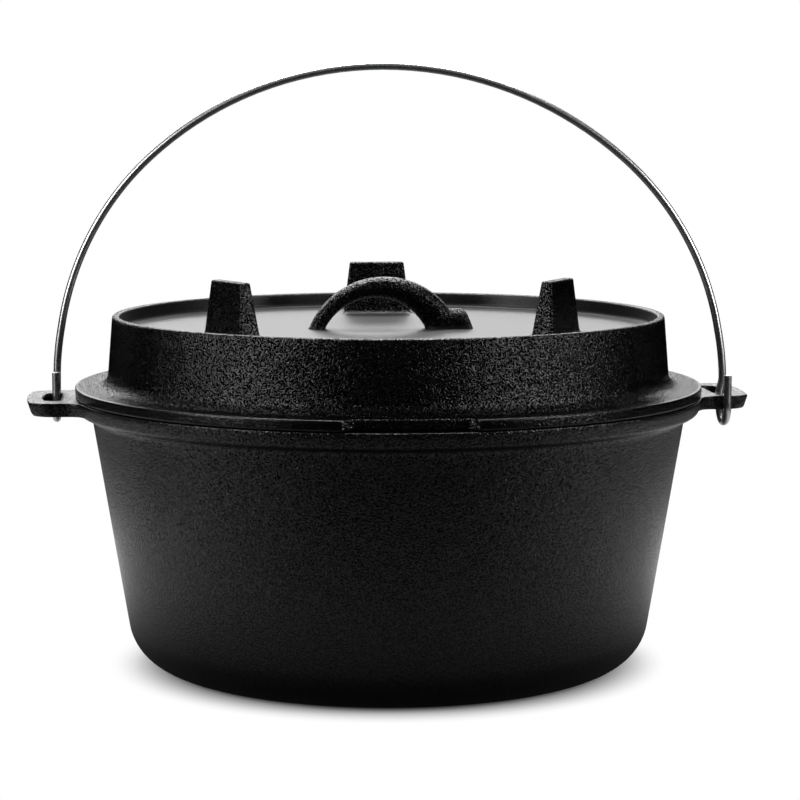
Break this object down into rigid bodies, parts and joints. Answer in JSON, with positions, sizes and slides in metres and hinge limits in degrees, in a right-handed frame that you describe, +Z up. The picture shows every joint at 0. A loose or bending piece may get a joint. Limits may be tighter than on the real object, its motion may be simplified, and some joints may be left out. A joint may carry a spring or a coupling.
{
  "type": "camp dutch oven",
  "caption": "Deep cast-iron camp oven: tapered pot with slotted ears, flanged lid with coal tray, feet and loop handle, and a wire bail that swings over the lid.",
  "frame": {"origin": "centre of the pot's flat bottom, on the floor", "axes": "+Z up the pot's axis, +X through the ears, towards the lid handle's stout end; -Y is the front, with the notch in the lid's flange"},
  "size_m": [0.3736, 0.3248, 0.3115],
  "materials": {
    "pot_iron": "sand cast, oil seasoned, satin",
    "lid_iron": "sand cast, oil seasoned, satin",
    "bail_wire": "bright plated steel wire"
  },
  "bodies": {
    "pot": {"pot": "pot_iron"},
    "lid": {"lid": "lid_iron"},
    "bail": {"bail": "bail_wire"}
  },
  "joints": [
    {"name": "bail_swing", "type": "hinge", "parent": "pot", "child": "bail", "pos_m": [0.17224, -0.024, 0.1369], "axis": [0.9904, -0.138, 0], "range_deg": [-66, 92]},
    {"name": "lid_lift", "type": "slide", "parent": "pot", "child": "lid", "axis": [0, 0, 1], "range_m": [0, 0.04]}
  ]
}
